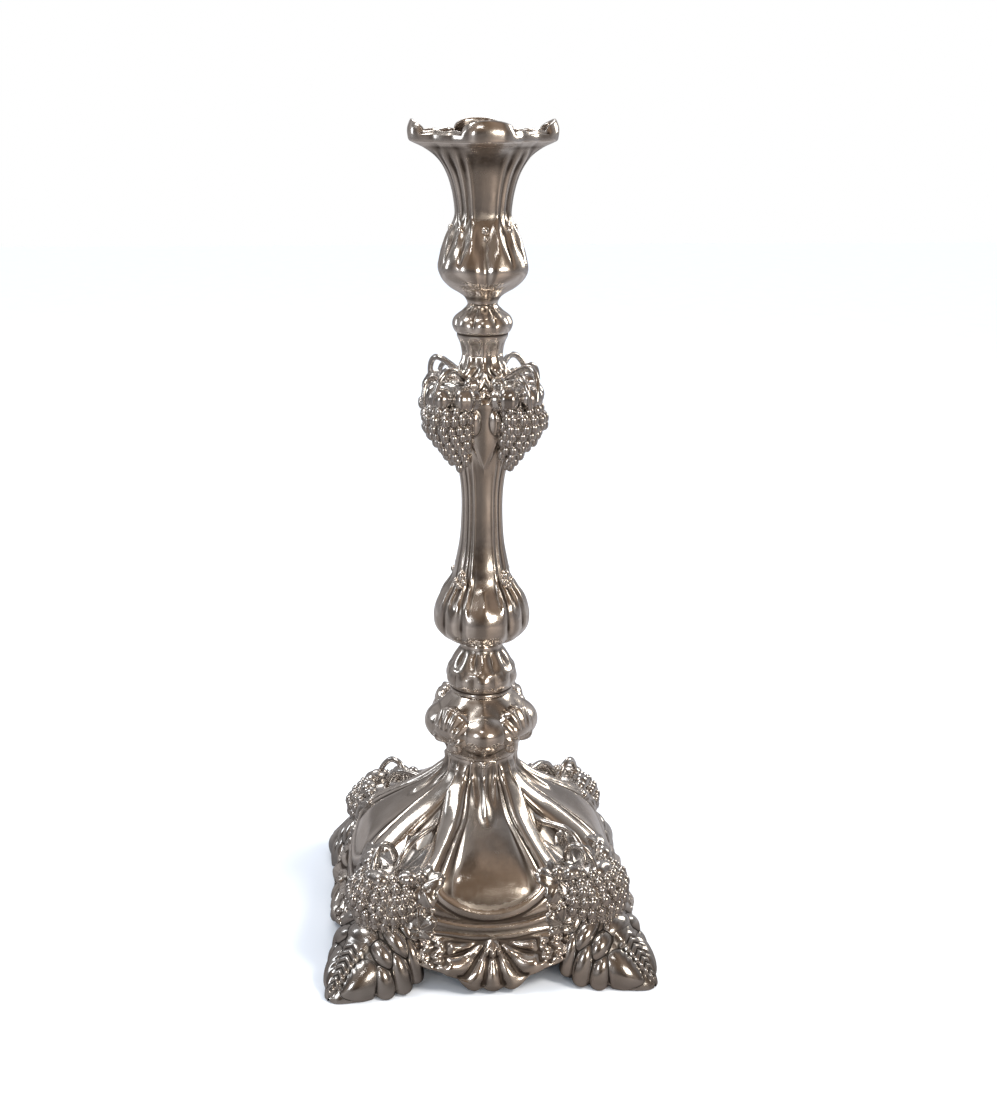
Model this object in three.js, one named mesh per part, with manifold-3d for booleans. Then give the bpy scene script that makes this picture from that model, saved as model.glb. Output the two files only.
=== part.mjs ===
// A silver-plated table candlestick with vine ornament, built of hollow sections on a central tie rod.
// Millimetres, +Z up. The origin is on the table under the middle of the base. The four faces look
// along +X, +Y, -X and -Y, and the four corners with their feet lie on the diagonals.
import * as THREE from "three";
import { mergeVertices } from "three/addons/utils/BufferGeometryUtils.js";
import Module from "manifold-3d";

const wasm = await Module();
wasm.setup();

// Driving dimensions
const HEIGHT = 360; // table to the tips of the nozzle rim
const WALL = 1.2; // metal thickness of the hollow sections
const GAP = 0.3; // clearance where an applied casting or a turning piece meets its neighbour
const FOOT_REACH = 99.7; // axis to a foot's toe, along the diagonal
const FOOT_HEIGHT = 27;
const CORNERS = 4;

// Joint planes between the stacked sections
const BASE_TOP = 84;
const COLLAR_TOP = 113;
const LOWER_KNOP_TOP = 136;
const STEM_TOP = 265;
const UPPER_KNOP_TOP = 286;

// Locating spigots, which stand up from one section into the next
const SPIGOT_HEIGHT = 3;
const SPIGOT_WALL = 1;

// Tie rod and its fittings
const ROD_RADIUS = 2.5;
const ROD_CLEARANCE = 0.4;
const ROD_BOTTOM = 51;
const ROD_TOP = 300;
const BRIDGE_TOP = 64;
const BRIDGE_RADIUS = 25.4;
const BRIDGE_THICKNESS = 2;
const WASHER_RADIUS = 7.5;
const WASHER_THICKNESS = 1.4;
const NUT_RADIUS = 5.2; // across corners, halved
const NUT_HEIGHT = 5;

// Candle cup
const CUP_RADIUS = 9.9;
const CUP_WALL = 0.7;
const CUP_FLOOR = 312;
const CUP_FLANGE = 337; // underside of the flange
const CUP_FLANGE_RADIUS = 12.1;

// Numbers of flat facets round each kind of piece
const FACETS_BASE = 48;
const FACETS_NOZZLE = 32;
const FACETS = 24;
const FACETS_SMALL = 16;

const silver = (name) =>
  new THREE.MeshStandardMaterial({ name, color: 0x8f857b, metalness: 1, roughness: 0.28 });
const steel = (name) =>
  new THREE.MeshStandardMaterial({ name, color: 0x6f6d6a, metalness: 1, roughness: 0.45 });

const lerp = THREE.MathUtils.lerp;
const smoothstep = THREE.MathUtils.smoothstep;

// 0 outside low..high and 1 half way between them
function swell(value, low, high) {
  const t = THREE.MathUtils.clamp((value - low) / (high - low), 0, 1);
  return Math.sin(Math.PI * t) ** 2;
}

// 0 on the middle of a face, 1 on a corner
const cornerness = (angle) => (1 - Math.cos(4 * angle)) / 2;

const vectors = (pairs) => pairs.map(([r, z]) => new THREE.Vector2(r, z));

// A smooth outline through [radius, height] points
const smoothOutline = (pairs, steps) => new THREE.SplineCurve(vectors(pairs)).getPoints(steps);

// The outline moved towards the axis by a distance, with its ends kept on their joint planes.
// A negative distance moves it away from the axis.
function movedInward(outline, distance) {
  const last = outline.length - 1;
  return outline.map((point, i) => {
    const along = outline[Math.min(i + 1, last)].clone().sub(outline[Math.max(i - 1, 0)]).normalize();
    const onPlane = i === 0 || i === last;
    const z = point.y + (onPlane ? 0 : along.x * distance);
    return new THREE.Vector2(Math.max(point.x - along.y * distance, 0), z);
  });
}

// A body of revolution about +Z from a closed outline, anticlockwise in radius and height.
// warp(radius, angle, height) gives each vertex its new radius and height.
function revolved(outline, facets, warp = (radius, angle, height) => [radius, height]) {
  const geometry = new THREE.LatheGeometry([...outline, outline[0]], facets).rotateX(Math.PI / 2);
  const position = geometry.getAttribute("position");
  for (let i = 0; i < position.count; i++) {
    const angle = Math.atan2(position.getY(i), position.getX(i));
    const radius = Math.hypot(position.getX(i), position.getY(i));
    const [r, z] = warp(radius, angle, position.getZ(i));
    position.setXYZ(i, r * Math.cos(angle), r * Math.sin(angle), z);
  }
  return geometry;
}

// A thin-walled section, with a spigot standing up from its top plane if the next section needs one
function hollowSection(outer, facets, warp, hasSpigot = true) {
  const inner = movedInward(outer, WALL).reverse();
  const top = inner[0];
  const spigotOuter = top.x - GAP;
  const spigotTop = top.y + SPIGOT_HEIGHT;
  const spigot = [
    new THREE.Vector2(spigotOuter, top.y),
    new THREE.Vector2(spigotOuter, spigotTop),
    new THREE.Vector2(spigotOuter - SPIGOT_WALL, spigotTop),
    new THREE.Vector2(spigotOuter - SPIGOT_WALL, top.y - SPIGOT_WALL),
  ];
  return revolved([...outer, ...(hasSpigot ? [...spigot, ...inner.slice(1)] : inner)], facets, warp);
}

// The space that a section fills, grown by GAP, to cut a piece that lies against it
function filledCore(outer, facets, warp) {
  const skin = movedInward(outer, -GAP);
  const onAxis = (point) => new THREE.Vector2(0, point.y);
  return revolved([onAxis(skin[0]), ...skin, onAxis(skin.at(-1))], facets, warp);
}

function toSolid(geometry) {
  const bare = new THREE.BufferGeometry();
  bare.setAttribute("position", geometry.getAttribute("position"));
  if (geometry.index) bare.setIndex(geometry.index);
  const merged = mergeVertices(bare, 1e-3);
  const vertProperties = merged.getAttribute("position").array;
  const triVerts = new Uint32Array(merged.index.array);
  return new wasm.Manifold(new wasm.Mesh({ numProp: 3, vertProperties, triVerts }));
}

function toGeometry(solid) {
  const { vertProperties, triVerts } = solid.getMesh();
  const geometry = new THREE.BufferGeometry();
  geometry.setAttribute("position", new THREE.BufferAttribute(vertProperties, 3));
  geometry.setIndex(new THREE.BufferAttribute(triVerts, 1));
  return geometry;
}

// The largest body of a cut, so that a sliver left beside it is dropped
function cutBy(geometry, ...cutters) {
  const rest = cutters.reduce((solid, cutter) => solid.subtract(cutter), toSolid(geometry));
  const bodies = rest.decompose().sort((a, b) => b.volume() - a.volume());
  return toGeometry(bodies[0]);
}

// A round disc, ring or bush from its bottom to its top
function ring(inner, outer, bottom, top, facets = FACETS_SMALL) {
  return revolved(vectors([[inner, bottom], [outer, bottom], [outer, top], [inner, top]]), facets);
}

// ---- Sections --------------------------------------------------------------------------------

const nozzleOutline = smoothOutline(
  [
    [6, UPPER_KNOP_TOP + GAP], [6.4, 288.5], [10, 291], [16.4, 295.5], [18.6, 300.7], [17.6, 305.5],
    [14.8, 312], [12.4, 319], [11.7, 323], [12.8, 331], [15.3, 339], [20, 346.5], [28.6, 352],
  ],
  16,
);
const rimOutline = vectors([[29.6, 353.2], [30, HEIGHT]]);

// Four lobes on the bulb and four ribs on the trumpet at the corners; the rim's lobes on the faces
function nozzleWarp(radius, angle, height) {
  const corner = cornerness(angle);
  const bulb = 0.1 * swell(height, 288, 318) * corner;
  const trumpet = 0.07 * swell(height, 316, 350) * corner;
  const rim = smoothstep(height, 344, 353);
  const scallop = rim * corner * smoothstep(radius, 14, 28);
  const lift = 4.8 * smoothstep(height, 353, HEIGHT) * scallop;
  return [radius * (1 + bulb + trumpet - 0.17 * scallop), height - lift];
}

function nozzleGeometry() {
  const outer = [...nozzleOutline, ...rimOutline];
  return hollowSection(outer, FACETS_NOZZLE, nozzleWarp, false);
}

// A flanged, threaded bush in the nozzle's neck, on which the nozzle screws down
function nozzleNutGeometry() {
  const bore = ROD_RADIUS + ROD_CLEARANCE;
  const [bottom, flange, top] = [287, 292, 294];
  const [neckRadius, flangeRadius] = [4.4, 8];
  return revolved(
    vectors([
      [bore, bottom], [neckRadius, bottom], [neckRadius, flange],
      [flangeRadius, flange], [flangeRadius, top], [bore, top],
    ]),
    FACETS_SMALL,
  );
}

function candleCupGeometry() {
  const inside = CUP_RADIUS - CUP_WALL;
  const flangeTop = CUP_FLANGE + CUP_WALL;
  const outline = vectors([
    [0, CUP_FLOOR], [CUP_RADIUS - 1.5, CUP_FLOOR], [CUP_RADIUS, CUP_FLOOR + 1.5],
    [CUP_RADIUS, CUP_FLANGE - 2], [CUP_FLANGE_RADIUS, CUP_FLANGE], [CUP_FLANGE_RADIUS, flangeTop],
    [CUP_FLANGE_RADIUS - CUP_WALL, flangeTop], [inside, CUP_FLANGE - 1.6],
    [inside, CUP_FLOOR + CUP_WALL + 1], [inside - 1, CUP_FLOOR + CUP_WALL], [0, CUP_FLOOR + CUP_WALL],
  ]);
  return revolved(outline, FACETS);
}

const upperKnopOutline = smoothOutline(
  [[8.2, STEM_TOP], [8.6, 268.5], [10.4, 272], [12.3, 277.6], [10.6, 281], [7.2, 284], [6, UPPER_KNOP_TOP]],
  8,
);

// Eight gadroons round the widest part
function upperKnopWarp(radius, angle, height) {
  return [radius * (1 + 0.04 * swell(height, 271, 285) * Math.cos(8 * angle)), height];
}

const stemOutline = smoothOutline(
  [
    [10.1, LOWER_KNOP_TOP], [17.6, 139.6], [20.9, 145], [21.2, 150], [19, 157], [14.4, 163.5],
    [12.3, 170], [10.2, 180], [9.2, 194], [9.4, 208], [11.8, 220], [14.4, 232], [15.6, 243],
    [13.2, 253], [9.6, 259.5], [8.2, STEM_TOP],
  ],
  19,
);

// Ribs on the corners of the column and hollows between the four bosses of the bulb
function stemWarp(radius, angle, height) {
  const corner = cornerness(angle);
  const column = 0.1 * swell(height, 164, 226) * corner;
  const bulb = 0.08 * swell(height, LOWER_KNOP_TOP, 163) * corner;
  return [radius * (1 + column - bulb), height];
}

const lowerKnopOutline = smoothOutline(
  [
    [13, COLLAR_TOP], [13.6, 115.5], [15.7, 119], [15, 123.5], [14.6, 127], [12.6, 131.5],
    [10, 134.2], [10.1, LOWER_KNOP_TOP],
  ],
  8,
);

// Gadroons in one tier round the knop
function lowerKnopWarp(radius, angle, height) {
  return [radius * (1 + 0.04 * swell(height, 115, 134) * Math.cos(8 * angle)), height];
}

const collarOutline = smoothOutline(
  [[16.9, BASE_TOP], [18, 87.5], [21.5, 93], [22.6, 98], [20.5, 104], [16.5, 109], [13, COLLAR_TOP]],
  8,
);

// Bosses on the four faces and four fan-shaped wings on the corners
function collarWarp(radius, angle, height) {
  const wing = 0.28 * swell(height, 90, COLLAR_TOP) * cornerness(angle) ** 2;
  return [radius * (1 + wing), height + 9 * wing];
}

const BASE_BOTTOM = 1;
const APRON_TOP = 26;
const APRON_RADIUS = 60.6;
const APRON_HEM = 69;
const APRON_SLOPE = (APRON_HEM - APRON_RADIUS) / (APRON_TOP - BASE_BOTTOM);
const baseOutline = [
  ...vectors([[APRON_HEM, BASE_BOTTOM], [66, 11], [APRON_RADIUS, APRON_TOP]]),
  ...smoothOutline(
    [[59.4, 30], [58.2, 36], [52, 47.5], [36, 60], [27.5, 66], [20.5, 72.5], [17.2, 79], [16.9, BASE_TOP]],
    9,
  ),
];

// The base turns from a round neck into a square with soft corners. Its apron hangs lowest in the
// middle of each face, rises to an arch beside it and stops above the foot on the corner.
function baseWarp(radius, angle, height) {
  const power = 3;
  const square = (Math.abs(Math.cos(angle)) ** power + Math.abs(Math.sin(angle)) ** power) ** (-1 / power);
  const squareness = 1 - smoothstep(height, 40, 82);
  const offFace = (Math.acos(Math.abs(Math.cos(2 * angle))) / 2) * THREE.MathUtils.RAD2DEG;
  const arch = 0.4 * smoothstep(offFace, 9, 22) + 0.45 * smoothstep(offFace, 28, 40);
  const drop = Math.max(APRON_TOP - height, 0) * (1 - arch);
  const flare = APRON_SLOPE * Math.max(APRON_TOP - height, 0) * smoothstep(offFace, 20, 40);
  const z = height < APRON_TOP ? APRON_TOP - drop : height;
  return [(radius - flare) * lerp(1, square, squareness), z];
}

// ---- Applied castings -------------------------------------------------------------------------

// A lump on the +X side that tapers downwards, with rows of berries standing out of it
function berryLump({ reach, height, halfSize, taper, rows, columns }) {
  const geometry = new THREE.SphereGeometry(1, 12, 8).rotateX(Math.PI / 2);
  const position = geometry.getAttribute("position");
  for (let i = 0; i < position.count; i++) {
    const [x, y, z] = [position.getX(i), position.getY(i), position.getZ(i)];
    const round = Math.hypot(x, y);
    const berries = 1 + 0.05 * round * Math.cos(rows * z) * Math.cos(columns * Math.atan2(y, x));
    const narrow = 1 - taper * smoothstep(-z, -0.2, 1);
    position.setXYZ(
      i,
      reach * (1 - taper * 0.35 * smoothstep(-z, -0.2, 1)) + halfSize[0] * x * berries * narrow,
      halfSize[1] * y * berries * narrow,
      height + halfSize[2] * z,
    );
  }
  return geometry;
}

const stemBunch = { reach: 21.5, height: 240.5, halfSize: [10.5, 10, 21], taper: 0.5, rows: 8, columns: 5 };
const baseBunch = { reach: 66, height: 40, halfSize: [14, 18, 16], taper: 0.25, rows: 6, columns: 6 };

// A bent wire on the +X side, through [radius, sideways, height] points
function tendril(points, wireRadius) {
  const path = new THREE.CatmullRomCurve3(points.map(([r, side, z]) => new THREE.Vector3(r, side, z)));
  const section = new THREE.Shape().absarc(0, 0, wireRadius, 0, 2 * Math.PI);
  return new THREE.ExtrudeGeometry(section, { extrudePath: path, steps: 8, curveSegments: 3 });
}

const stemTendril = () =>
  tendril([[9, 0, 256], [15, 1.5, 263.5], [21, 3, 266.5], [27, 2, 263], [28.5, 0, 252]], 1);
const baseTendril = () =>
  tendril([[36, 0, 60], [44, 2, 64], [53, 3.5, 64], [61, 2, 60], [66, 0, 50]], 1.1);

// A splayed leaf foot on the +X side: wide where it meets the base, pointed at the toe
function footBlank() {
  const root = 60;
  const halfPlan = [[66, 21], [71, 22], [79, 16.5], [88, 11], [95, 6], [98.8, 2.5]];
  const plan = [
    ...vectors(halfPlan),
    new THREE.Vector2(FOOT_REACH, 0),
    ...vectors(halfPlan.map(([r, side]) => [r, -side]).reverse()),
    new THREE.Vector2(root, -12),
    new THREE.Vector2(root, 12),
  ];
  const geometry = new THREE.ExtrudeGeometry(new THREE.Shape(plan), {
    depth: FOOT_HEIGHT,
    steps: 5,
    bevelEnabled: false,
  });
  const position = geometry.getAttribute("position");
  for (let i = 0; i < position.count; i++) {
    const risen = position.getZ(i) / FOOT_HEIGHT;
    const outward = position.getX(i) - root;
    const reach = root + outward * (1 - 0.62 * risen ** 0.8);
    position.setXYZ(i, reach, position.getY(i) * (1 - 0.35 * risen), position.getZ(i));
  }
  return geometry;
}

// ---- Tie rod fittings -------------------------------------------------------------------------

function tieRodGeometry() {
  const length = ROD_TOP - ROD_BOTTOM;
  return new THREE.CylinderGeometry(ROD_RADIUS, ROD_RADIUS, length, FACETS_SMALL)
    .rotateX(Math.PI / 2)
    .translate(0, 0, ROD_BOTTOM + length / 2);
}

const washerTop = BRIDGE_TOP - BRIDGE_THICKNESS - GAP / 3;
const nutTop = washerTop - WASHER_THICKNESS - GAP / 3;

function tieNutGeometry() {
  const hexagon = new THREE.Shape();
  for (let side = 0; side < 6; side++) {
    const angle = (side * Math.PI) / 3;
    const [x, y] = [NUT_RADIUS * Math.cos(angle), NUT_RADIUS * Math.sin(angle)];
    if (side === 0) hexagon.moveTo(x, y);
    else hexagon.lineTo(x, y);
  }
  hexagon.holes.push(new THREE.Path().absarc(0, 0, ROD_RADIUS + ROD_CLEARANCE, 0, 2 * Math.PI));
  const options = { depth: NUT_HEIGHT, bevelEnabled: false, curveSegments: 8 };
  return new THREE.ExtrudeGeometry(hexagon, options).translate(0, 0, nutTop - NUT_HEIGHT);
}

// ---- Assembly ---------------------------------------------------------------------------------

const candlestick = new THREE.Group();

function add(name, geometry, makeMaterial = silver) {
  const mesh = new THREE.Mesh(geometry, makeMaterial(name));
  mesh.name = name;
  candlestick.add(mesh);
}

// One copy of an applied casting on each diagonal, numbered anticlockwise from the +X +Y corner.
// Each copy is turned as a mesh, so it is cut in place by solids turned the other way.
function addOnCorners(name, geometry) {
  for (let corner = 0; corner < CORNERS; corner++) {
    const mesh = new THREE.Mesh(geometry, silver(name));
    mesh.name = `${name}_${corner + 1}`;
    mesh.rotation.z = Math.PI / 4 + (corner * Math.PI) / 2;
    candlestick.add(mesh);
  }
}

const turnedToCorner = (geometry) => toSolid(geometry.rotateZ(-Math.PI / 4));

add("nozzle", nozzleGeometry());
add("nozzle_nut", nozzleNutGeometry(), steel);
add("candle_cup", candleCupGeometry());
add("upper_knop", hollowSection(upperKnopOutline, FACETS, upperKnopWarp, false));
add("stem", hollowSection(stemOutline, FACETS, stemWarp));
add("lower_knop", hollowSection(lowerKnopOutline, FACETS, lowerKnopWarp));
add("collar", hollowSection(collarOutline, FACETS, collarWarp));
add("base_shell", hollowSection(baseOutline, FACETS_BASE, baseWarp));

const stemCore = turnedToCorner(filledCore(stemOutline, FACETS, stemWarp));
const baseCore = turnedToCorner(filledCore(baseOutline, FACETS_BASE, baseWarp));
const grown = ({ halfSize, ...rest }) => ({ ...rest, halfSize: halfSize.map((size) => size + GAP) });

addOnCorners("stem_bunch", cutBy(berryLump(stemBunch), stemCore));
addOnCorners("stem_tendril", cutBy(stemTendril(), stemCore, toSolid(berryLump(grown(stemBunch)))));
addOnCorners("base_bunch", cutBy(berryLump(baseBunch), baseCore));
addOnCorners("base_tendril", cutBy(baseTendril(), baseCore, toSolid(berryLump(grown(baseBunch)))));
addOnCorners("foot", cutBy(footBlank(), baseCore, toSolid(berryLump(grown(baseBunch)))));

const boltBore = ROD_RADIUS + ROD_CLEARANCE;
add("tie_rod", tieRodGeometry(), steel);
add("bridge_plate", ring(boltBore, BRIDGE_RADIUS, BRIDGE_TOP - BRIDGE_THICKNESS, BRIDGE_TOP), steel);
add("washer", ring(boltBore, WASHER_RADIUS, washerTop - WASHER_THICKNESS, washerTop), steel);
add("tie_nut", tieNutGeometry(), steel);

export default candlestick;
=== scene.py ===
"""Looks of the silver candlestick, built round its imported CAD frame.

Shapes are worked out in millimetres with numpy and become meshes in metres. The candlestick has
four faces, towards +X, +Y, -X and -Y, and four corners between them.
"""
import math

import bmesh
import bpy
import numpy as np
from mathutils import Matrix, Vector


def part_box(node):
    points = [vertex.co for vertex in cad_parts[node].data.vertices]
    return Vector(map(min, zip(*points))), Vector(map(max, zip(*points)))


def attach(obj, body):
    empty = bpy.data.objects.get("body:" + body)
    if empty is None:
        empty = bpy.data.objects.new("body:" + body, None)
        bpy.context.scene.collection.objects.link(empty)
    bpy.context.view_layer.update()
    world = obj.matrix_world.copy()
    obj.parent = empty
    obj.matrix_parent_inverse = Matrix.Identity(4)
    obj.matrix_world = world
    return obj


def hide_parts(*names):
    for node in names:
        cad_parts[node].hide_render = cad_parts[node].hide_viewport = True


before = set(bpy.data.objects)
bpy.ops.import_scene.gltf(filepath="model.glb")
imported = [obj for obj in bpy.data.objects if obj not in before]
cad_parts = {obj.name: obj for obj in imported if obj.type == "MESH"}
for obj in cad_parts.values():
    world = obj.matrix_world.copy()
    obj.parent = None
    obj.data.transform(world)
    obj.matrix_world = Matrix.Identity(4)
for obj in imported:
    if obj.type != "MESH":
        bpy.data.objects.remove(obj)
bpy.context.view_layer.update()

MM = 0.001
CORNERS = range(4)
random = np.random.default_rng(11)

# Heights of the planes where the sections meet, from the CAD nodes, in millimetres
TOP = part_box("nozzle")[1].z / MM
NOZZLE_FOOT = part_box("nozzle")[0].z / MM
UPPER_KNOP_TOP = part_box("upper_knop")[1].z / MM
STEM_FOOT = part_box("stem")[0].z / MM
STEM_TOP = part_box("upper_knop")[0].z / MM
COLLAR_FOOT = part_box("collar")[0].z / MM
COLLAR_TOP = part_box("lower_knop")[0].z / MM

# Other sizes, in millimetres
TOE_RADIUS = 99.7
LINING_DEPTH = 2.2  # from the outline to the inner skin: the wall and the deepest groove
INNERMOST = 3.4  # the lining stays clear of the tie rod
HOLLOW_DEPTH = 0.17  # a vertex this far below its surroundings counts as fully recessed
HOLLOW_ROUNDS = 14  # rounds of smoothing that find those surroundings


# ---- Numbers ----

def smoothstep(low, high, x):
    t = np.clip((x - low) / (high - low), 0, 1)
    return t * t * (3 - 2 * t)


def swell(x, low, high):
    """0 outside low..high, 1 half way between them."""
    return np.sin(np.pi * np.clip((x - low) / (high - low), 0, 1)) ** 2


def bell(x, centre, width):
    return np.exp(-(((x - centre) / width) ** 2))


def dome(distance, radius):
    """Height of a half ball of radius 1 at a distance from its centre."""
    return np.sqrt(np.clip(1 - (distance / radius) ** 2, 0, 1))


def unit(vectors):
    return vectors / np.maximum(np.linalg.norm(vectors, axis=-1, keepdims=True), 1e-9)


def runs_along(line):
    """The distance of each point of a line from its start, along the line."""
    return np.concatenate([[0], np.cumsum(np.linalg.norm(np.diff(line, axis=0), axis=1))])


def smooth_line(points, step):
    """A Catmull-Rom curve through points, cut into equal pieces of about step."""
    p = np.asarray(points, float)
    p = np.vstack([2 * p[0] - p[1], p, 2 * p[-1] - p[-2]])
    t = np.linspace(0, 1, 16, endpoint=False)[:, None]
    spans = []
    for a, b, c, d in zip(p, p[1:], p[2:], p[3:]):
        spans.append(0.5 * (2 * b + (c - a) * t + (2 * a - 5 * b + 4 * c - d) * t**2
                            + (3 * b - a - 3 * c + d) * t**3))
    fine = np.vstack(spans + [p[-2:-1]])
    run = runs_along(fine)
    at = np.linspace(0, run[-1], int(run[-1] / step) + 2)
    return np.column_stack([np.interp(at, run, column) for column in fine.T])


def off_face(angle):
    """Degrees from the middle of the nearest face, -45 to 45."""
    return (np.degrees(angle) + 45) % 90 - 45


# ---- Patches: vertices, faces and how deep in a recess each vertex lies ----

def normals_of(points):
    """Outward normals of a grid whose rows climb and whose columns run anticlockwise."""
    across = np.roll(points, -1, 1) - np.roll(points, 1, 1)
    return unit(np.cross(across, np.gradient(points, axis=0)))


def grid_patch(points, recess=0.0, wrap_rows=False):
    """A patch from a grid whose last column meets its first."""
    rows, columns = points.shape[:2]
    index = np.arange(rows * columns).reshape(rows, columns)
    if wrap_rows:
        index = np.vstack([index, index[:1]])
    right = np.roll(index, -1, axis=1)
    quads = np.stack([index[:-1], right[:-1], right[1:], index[1:]], -1).reshape(-1, 4)
    flat = points.reshape(-1, 3)
    return facing_out(flat, quads, np.broadcast_to(recess, (rows, columns)).ravel())


def end_caps(tube):
    """Rows that close a tube of points at its first and its last row."""
    return [np.repeat(tube[k : k + 1].mean(1, keepdims=True), tube.shape[1], 1) for k in (0, -1)]


def facing_out(verts, faces, recess):
    """The patch with its faces turned outwards, judged by its signed volume."""
    a, b, c = verts[faces[:, 0]], verts[faces[:, 1]], verts[faces[:, 2]]
    volume = np.einsum("ij,ij->i", a - verts.mean(0), np.cross(b - a, c - a)).sum()
    return verts, faces if volume > 0 else faces[:, ::-1], recess


def turned(patch, angle):
    c, s = math.cos(angle), math.sin(angle)
    verts, faces, recess = patch
    return verts @ np.array([[c, s, 0], [-s, c, 0], [0, 0, 1]]), faces, recess


def joined(patches):
    """The vertices and the recesses of all patches, and a list of their face arrays."""
    verts, faces, recess, start = [], [], [], 0
    for v, f, r in patches:
        verts.append(v)
        faces.append(f + start)
        recess.append(r)
        start += len(v)
    return np.vstack(verts), faces, np.concatenate(recess)


def hollows(mesh_verts, edges):
    """The way from each vertex to the smoothed surface round it, in millimetres."""
    count = len(mesh_verts)
    a, b = edges[:, 0], edges[:, 1]
    degree = np.bincount(a, minlength=count) + np.bincount(b, minlength=count)
    smooth = mesh_verts.copy()
    for _ in range(HOLLOW_ROUNDS):
        total = np.stack([
            np.bincount(a, smooth[b, k], count) + np.bincount(b, smooth[a, k], count) for k in range(3)
        ], -1)
        smooth = 0.5 * smooth + 0.5 * total / np.maximum(degree, 1)[:, None]
    return smooth - mesh_verts


def add_object(name, data):
    made = bpy.data.objects.new(name, data)
    bpy.context.scene.collection.objects.link(made)
    return made


def make_mesh(name, patches):
    """A smooth mesh in metres, with its recess attribute and without doubled vertices."""
    verts, faces, recess = joined(patches)
    mesh = bpy.data.meshes.new(name)
    mesh.vertices.add(len(verts))
    mesh.vertices.foreach_set("co", (verts * MM).astype(np.float32).ravel())
    sizes = np.concatenate([np.full(len(f), f.shape[1]) for f in faces])
    starts = np.concatenate([[0], np.cumsum(sizes)[:-1]])
    mesh.loops.add(int(sizes.sum()))
    mesh.loops.foreach_set("vertex_index", np.concatenate([f.ravel() for f in faces]).astype(np.int32))
    mesh.polygons.add(len(sizes))
    mesh.polygons.foreach_set("loop_start", starts.astype(np.int32))
    mesh.update(calc_edges=True)
    mesh.attributes.new("recess", "FLOAT", "POINT").data.foreach_set("value", recess.astype(np.float32))
    welded = bmesh.new()
    welded.from_mesh(mesh)
    bmesh.ops.remove_doubles(welded, verts=welded.verts, dist=0.002 * MM)
    welded.to_mesh(mesh)
    welded.free()
    mark_hollows(mesh)
    mesh.polygons.foreach_set("use_smooth", np.ones(len(mesh.polygons), bool))
    return mesh


def make_piece(name, patches, material, slot, body, *replaced):
    """Turns patches into a mesh object that rides on a body and stands for CAD nodes."""
    mesh = make_mesh(name, patches)
    mesh.materials.append(material)
    piece = add_object(name, mesh)
    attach(piece, body)
    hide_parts(*replaced)


def values_of(items, key, width, kind=np.float32):
    """One row of width numbers for each item of a mesh."""
    values = np.empty(len(items) * width, kind)
    items.foreach_get(key, values)
    return values.reshape(-1, width)


def mark_hollows(mesh):
    """Adds what the shape itself says to the recess attribute: hollows up, ridges down."""
    verts = values_of(mesh.vertices, "co", 3).astype(float) / MM
    edges = values_of(mesh.edges, "vertices", 2, np.int32)
    below = np.einsum("ij,ij->i", hollows(verts, edges), values_of(mesh.vertices, "normal", 3))
    recess = mesh.attributes["recess"].data
    # hollows raise the recess, which the material darkens: tarnish and painted shade in the hollows
    depth = np.clip(values_of(recess, "value", 1)[:, 0] + below / HOLLOW_DEPTH, -1, 1)
    recess.foreach_set("value", depth.astype(np.float32))


# ---- Turned sections. An outline is a list of (radius, height) points that climbs the outside ----

def lathe(outline, columns):
    """Radius, angle and height grids of an outline turned about +Z."""
    angle = np.linspace(0, 2 * np.pi, columns, endpoint=False)[None, :]
    radius = np.repeat(outline[:, :1], columns, 1)
    height = np.repeat(outline[:, 1:], columns, 1)
    return radius, np.repeat(angle, len(outline), 0), height


def placed(radius, angle, height):
    return np.stack([radius * np.cos(angle), radius * np.sin(angle), height], -1)


def moved_inward(outline, distance):
    """The outline moved towards the axis, within its own heights."""
    along = unit(np.gradient(outline, axis=0))
    inner = outline + distance * np.column_stack([-along[:, 1], along[:, 0]])
    inner[:, 1] = np.clip(inner[:, 1], outline[:, 1].min(), outline[:, 1].max())
    inner[:, 0] = np.maximum(inner[:, 0], INNERMOST)
    return inner


def section(outline, columns, shape, inner_every=6):
    """A thin-walled turned section, whose lining has one row of points for inner_every of the outside.

    shape(radius, angle, height) gives the radius, the height and the relief.
    """
    radius, angle, height = lathe(outline, columns)
    warped_radius, warped_height, relief = shape(radius, angle, height)
    skin = placed(warped_radius, angle, warped_height)
    skin = skin + normals_of(skin) * relief[..., None]
    lining_line = moved_inward(outline, LINING_DEPTH)[::-1]
    keep = np.unique(np.r_[np.arange(0, len(lining_line), inner_every), len(lining_line) - 1])
    radius, angle, height = lathe(lining_line[keep], columns)
    warped_radius, warped_height, _ = shape(radius, angle, height)
    lining = placed(warped_radius, angle, warped_height)
    return grid_patch(np.concatenate([skin, lining]), wrap_rows=True)


RIB_HEIGHT, FLUTE_DEPTH = 0.75, 0.25


def ribs_and_flutes(angle):
    """Wide flutes on the faces and a pair of ribs beside each corner."""
    off = np.abs(off_face(angle))
    corner = 45 - off
    ribs = bell(corner, 8, 5) + 0.5 * bell(corner, 20, 4.4)
    flute = np.cos(np.radians(off * 90 / 24)) ** 2 * (off < 24)
    return RIB_HEIGHT * ribs - FLUTE_DEPTH * flute


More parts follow.
